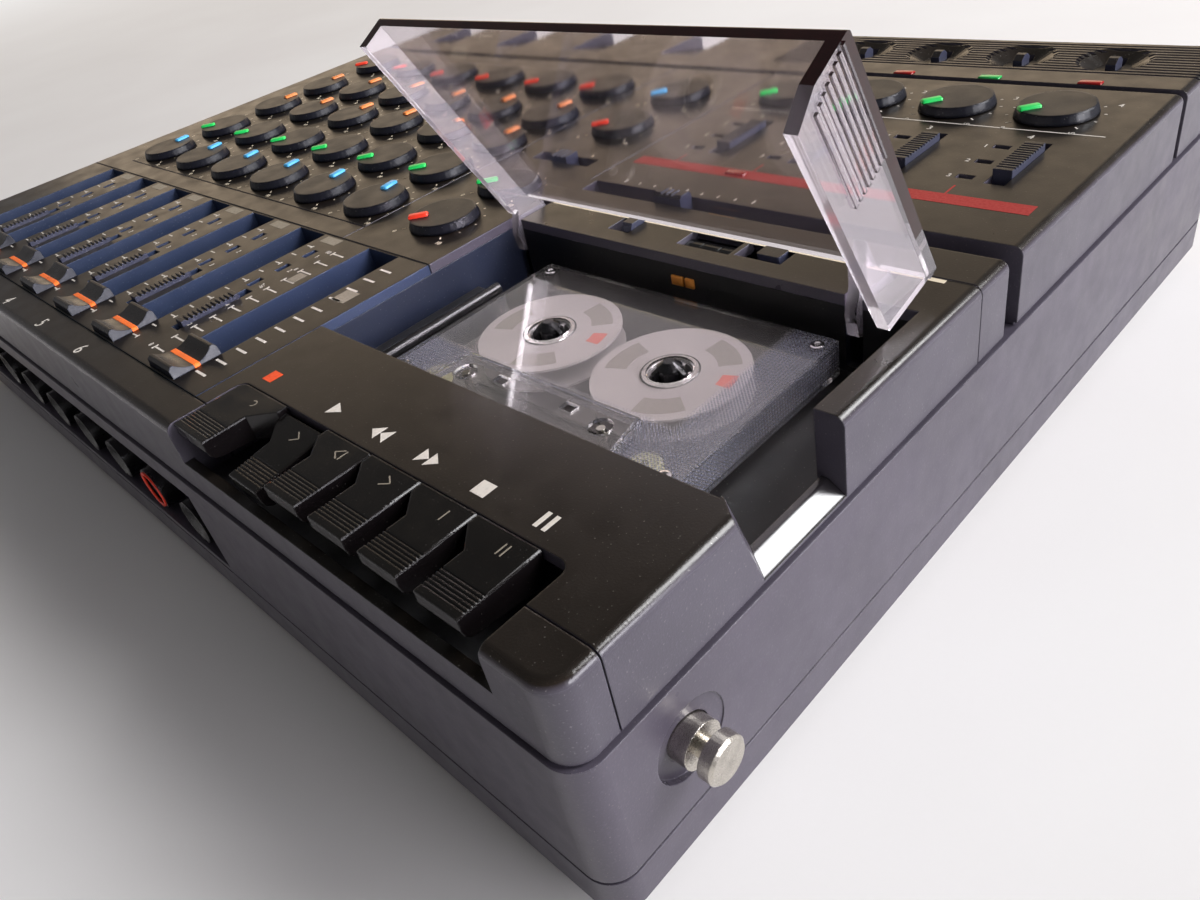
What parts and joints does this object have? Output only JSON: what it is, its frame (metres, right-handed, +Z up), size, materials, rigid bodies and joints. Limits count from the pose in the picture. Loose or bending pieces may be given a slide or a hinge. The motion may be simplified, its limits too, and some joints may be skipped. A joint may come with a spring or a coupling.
{
  "type": "cassette multitrack recorder",
  "caption": "Portable cassette multitrack recorder: open clear lid over a lift-out cassette, transport keys, sliding faders, rotary knobs and front jack sockets.",
  "frame": {"origin": "centre of the footprint, at the level of the undersides of the feet", "axes": "+Z up; -Y is the front with the transport keys; +X is the right hand side with the cassette deck"},
  "size_m": [0.431, 0.308, 0.1375],
  "materials": {
    "case_grey": "satin moulded plastic",
    "top_black": "fine textured moulded plastic",
    "fader_blue": "satin moulded plastic",
    "well_black": "satin moulded plastic",
    "foot_rubber": "matt",
    "screw_steel": "blackened steel",
    "post_chrome": "turned and plated",
    "jack_black": "moulded",
    "track_steel": "plain pressed steel",
    "switch_grey": "satin",
    "knob_grey": "satin moulded",
    "gloss_black": "polished",
    "head_steel": "polished head block",
    "clear_acrylic": "clear moulded acrylic",
    "clear_shell": "clear moulded styrene",
    "reel_white": "moulded",
    "spindle_black": "moulded",
    "key_black": "satin moulded",
    "cap_black": "satin moulded"
  },
  "bodies": {
    "case": {"lower_case": "case_grey", "feet": "foot_rubber", "case_screws": "screw_steel", "case_frame": "case_grey", "strap_posts": "post_chrome", "input_jacks": "jack_black", "front_trim": "top_black", "fader_panel": "fader_blue", "fader_tracks": "track_steel", "channel_selectors": "switch_grey", "channel_knobs": "knob_grey", "control_pots": "track_steel", "control_panel": "top_black", "rear_panel": "top_black", "deck_cover": "top_black", "cassette_well": "well_black", "guide_rod": "gloss_black", "tape_heads": "head_steel", "counter_frame": "well_black", "key_frame": "track_steel"},
    "lid": {"lid": "clear_acrylic"},
    "cassette": {"cassette_shell": "clear_shell"},
    "reel_left": {"reel_left": "reel_white"},
    "reel_right": {"reel_right": "reel_white"},
    "spindle_left": {"spindle_left": "spindle_black"},
    "spindle_right": {"spindle_right": "spindle_black"},
    "counter_drum": {"counter_drum": "gloss_black"},
    "return_lever": {"return_lever": "switch_grey"},
    "reset_button": {"reset_button": "switch_grey"},
    "monitor_switch": {"monitor_switch": "switch_grey"},
    "pitch_slider": {"pitch_slider": "switch_grey"},
    "key_pause": {"key_pause": "key_black"},
    "key_stop": {"key_stop": "key_black"},
    "key_forward": {"key_forward": "key_black"},
    "key_rewind": {"key_rewind": "key_black"},
    "key_play": {"key_play": "key_black"},
    "key_record": {"key_record": "key_black"},
    "fader_master": {"fader_master": "cap_black"},
    "fader_6": {"fader_6": "cap_black"},
    "fader_5": {"fader_5": "cap_black"},
    "fader_4": {"fader_4": "cap_black"},
    "fader_3": {"fader_3": "cap_black"},
    "fader_2": {"fader_2": "cap_black"},
    "fader_1": {"fader_1": "cap_black"},
    "master_knob_1": {"master_knob_1": "knob_grey"},
    "master_knob_2": {"master_knob_2": "knob_grey"},
    "master_knob_3": {"master_knob_3": "knob_grey"},
    "master_knob_4": {"master_knob_4": "knob_grey"},
    "track_knob_4": {"track_knob_4": "knob_grey"},
    "track_knob_3": {"track_knob_3": "knob_grey"},
    "track_knob_2": {"track_knob_2": "knob_grey"},
    "track_knob_1": {"track_knob_1": "knob_grey"},
    "track_switch_4": {"track_switch_4": "switch_grey"},
    "track_switch_3": {"track_switch_3": "switch_grey"},
    "track_switch_2": {"track_switch_2": "switch_grey"},
    "track_switch_1": {"track_switch_1": "switch_grey"},
    "rear_switch_1": {"rear_switch_1": "switch_grey"},
    "rear_switch_2": {"rear_switch_2": "switch_grey"},
    "rear_switch_3": {"rear_switch_3": "switch_grey"},
    "rear_switch_4": {"rear_switch_4": "switch_grey"}
  },
  "joints": [
    {"name": "lid_hinge", "type": "hinge", "parent": "case", "child": "lid", "pos_m": [0.132, -0.0244, 0.0655], "axis": [-1, 0, 0], "range_deg": [-61.2, 0]},
    {"name": "cassette_lift", "type": "slide", "parent": "case", "child": "cassette", "axis": [0, 0, 1], "range_m": [0, 0.03]},
    {"name": "spindle_left_spin", "type": "hinge", "parent": "case", "child": "spindle_left", "pos_m": [0.11055, -0.0643, 0.06], "axis": [0, 0, 1], "continuous": true},
    {"name": "spindle_right_spin", "type": "hinge", "parent": "case", "child": "spindle_right", "pos_m": [0.15305, -0.0643, 0.06], "axis": [0, 0, 1], "continuous": true},
    {"name": "reel_left_spin", "type": "hinge", "parent": "cassette", "child": "reel_left", "pos_m": [0.11055, -0.0643, 0.06], "axis": [0, 0, 1], "continuous": true},
    {"name": "reel_right_spin", "type": "hinge", "parent": "cassette", "child": "reel_right", "pos_m": [0.15305, -0.0643, 0.06], "axis": [0, 0, 1], "continuous": true},
    {"name": "counter_spin", "type": "hinge", "parent": "case", "child": "counter_drum", "pos_m": [0.1338, -0.0216, 0.065], "axis": [1, 0, 0], "continuous": true},
    {"name": "key_pause_press", "type": "hinge", "parent": "case", "child": "key_pause", "pos_m": [0.132, -0.124, 0.064], "axis": [1, 0, 0], "range_deg": [0, 9], "stiffness_Nm_per_rad": 0.12, "springref_deg": -6.88},
    {"name": "key_stop_press", "type": "hinge", "parent": "case", "child": "key_stop", "pos_m": [0.132, -0.124, 0.064], "axis": [1, 0, 0], "range_deg": [0, 9], "stiffness_Nm_per_rad": 0.12, "springref_deg": -6.88},
    {"name": "key_forward_press", "type": "hinge", "parent": "case", "child": "key_forward", "pos_m": [0.132, -0.124, 0.064], "axis": [1, 0, 0], "range_deg": [0, 9], "stiffness_Nm_per_rad": 0.12, "springref_deg": -6.88},
    {"name": "key_rewind_press", "type": "hinge", "parent": "case", "child": "key_rewind", "pos_m": [0.132, -0.124, 0.064], "axis": [1, 0, 0], "range_deg": [0, 9], "stiffness_Nm_per_rad": 0.12, "springref_deg": -6.88},
    {"name": "key_play_press", "type": "hinge", "parent": "case", "child": "key_play", "pos_m": [0.132, -0.124, 0.064], "axis": [1, 0, 0], "range_deg": [-8.2, 0]},
    {"name": "key_record_press", "type": "hinge", "parent": "case", "child": "key_record", "pos_m": [0.132, -0.124, 0.064], "axis": [1, 0, 0], "range_deg": [0, 9], "stiffness_Nm_per_rad": 0.12, "springref_deg": -6.88},
    {"name": "fader_master_slide", "type": "slide", "parent": "case", "child": "fader_master", "axis": [0, 1, 0], "range_m": [0, 0.06]},
    {"name": "fader_6_slide", "type": "slide", "parent": "case", "child": "fader_6", "axis": [0, 1, 0], "range_m": [0, 0.06]},
    {"name": "fader_5_slide", "type": "slide", "parent": "case", "child": "fader_5", "axis": [0, 1, 0], "range_m": [0, 0.06]},
    {"name": "fader_4_slide", "type": "slide", "parent": "case", "child": "fader_4", "axis": [0, 1, 0], "range_m": [0, 0.06]},
    {"name": "fader_3_slide", "type": "slide", "parent": "case", "child": "fader_3", "axis": [0, 1, 0], "range_m": [0, 0.06]},
    {"name": "fader_2_slide", "type": "slide", "parent": "case", "child": "fader_2", "axis": [0, 1, 0], "range_m": [0, 0.06]},
    {"name": "fader_1_slide", "type": "slide", "parent": "case", "child": "fader_1", "axis": [0, 1, 0], "range_m": [0, 0.06]},
    {"name": "master_knob_1_turn", "type": "hinge", "parent": "case", "child": "master_knob_1", "pos_m": [0.0414, -0.0423, 0.072], "axis": [0, 0, -1], "range_deg": [0, 270]},
    {"name": "master_knob_2_turn", "type": "hinge", "parent": "case", "child": "master_knob_2", "pos_m": [0.0414, -0.0131, 0.072], "axis": [0, 0, -1], "range_deg": [0, 270]},
    {"name": "master_knob_3_turn", "type": "hinge", "parent": "case", "child": "master_knob_3", "pos_m": [0.0414, 0.0446, 0.072], "axis": [0, 0, -1], "range_deg": [0, 270]},
    {"name": "master_knob_4_turn", "type": "hinge", "parent": "case", "child": "master_knob_4", "pos_m": [0.0414, 0.0778, 0.072], "axis": [0, 0, -1], "range_deg": [0, 270]},
    {"name": "track_knob_4_turn", "type": "hinge", "parent": "case", "child": "track_knob_4", "pos_m": [0.1787, 0.086, 0.072], "axis": [0, 0, -1], "range_deg": [0, 270]},
    {"name": "track_knob_3_turn", "type": "hinge", "parent": "case", "child": "track_knob_3", "pos_m": [0.148, 0.086, 0.072], "axis": [0, 0, -1], "range_deg": [0, 270]},
    {"name": "track_knob_2_turn", "type": "hinge", "parent": "case", "child": "track_knob_2", "pos_m": [0.1173, 0.086, 0.072], "axis": [0, 0, -1], "range_deg": [0, 270]},
    {"name": "track_knob_1_turn", "type": "hinge", "parent": "case", "child": "track_knob_1", "pos_m": [0.0866, 0.086, 0.072], "axis": [0, 0, -1], "range_deg": [0, 270]},
    {"name": "track_switch_4_slide", "type": "slide", "parent": "case", "child": "track_switch_4", "axis": [0, 1, 0], "range_m": [-0.0045, 0.0045]},
    {"name": "track_switch_3_slide", "type": "slide", "parent": "case", "child": "track_switch_3", "axis": [0, 1, 0], "range_m": [-0.0045, 0.0045]},
    {"name": "track_switch_2_slide", "type": "slide", "parent": "case", "child": "track_switch_2", "axis": [0, 1, 0], "range_m": [-0.0045, 0.0045]},
    {"name": "track_switch_1_slide", "type": "slide", "parent": "case", "child": "track_switch_1", "axis": [0, 1, 0], "range_m": [-0.0045, 0.0045]},
    {"name": "monitor_switch_slide", "type": "slide", "parent": "case", "child": "monitor_switch", "axis": [1, 0, 0], "range_m": [-0.009, 0.009]},
    {"name": "pitch_slide", "type": "slide", "parent": "case", "child": "pitch_slider", "axis": [1, 0, 0], "range_m": [-0.02, 0.02]},
    {"name": "return_lever_slide", "type": "slide", "parent": "case", "child": "return_lever", "axis": [-1, 0, 0], "range_m": [0, 0.004]},
    {"name": "reset_press", "type": "slide", "parent": "case", "child": "reset_button", "axis": [0, 0, -1], "range_m": [0, 0.002], "stiffness_N_per_m": 150, "springref_m": -0.002},
    {"name": "rear_switch_1_slide", "type": "slide", "parent": "case", "child": "rear_switch_1", "axis": [0, 1, 0], "range_m": [-0.0036, 0.0036]},
    {"name": "rear_switch_2_slide", "type": "slide", "parent": "case", "child": "rear_switch_2", "axis": [0, 1, 0], "range_m": [-0.0036, 0.0036]},
    {"name": "rear_switch_3_slide", "type": "slide", "parent": "case", "child": "rear_switch_3", "axis": [0, 1, 0], "range_m": [-0.0036, 0.0036]},
    {"name": "rear_switch_4_slide", "type": "slide", "parent": "case", "child": "rear_switch_4", "axis": [0, 1, 0], "range_m": [-0.0036, 0.0036]}
  ],
  "couplings": [
    {"joint": "reel_left_spin", "follows": "spindle_left_spin", "ratio": 1},
    {"joint": "reel_right_spin", "follows": "spindle_right_spin", "ratio": 1}
  ]
}
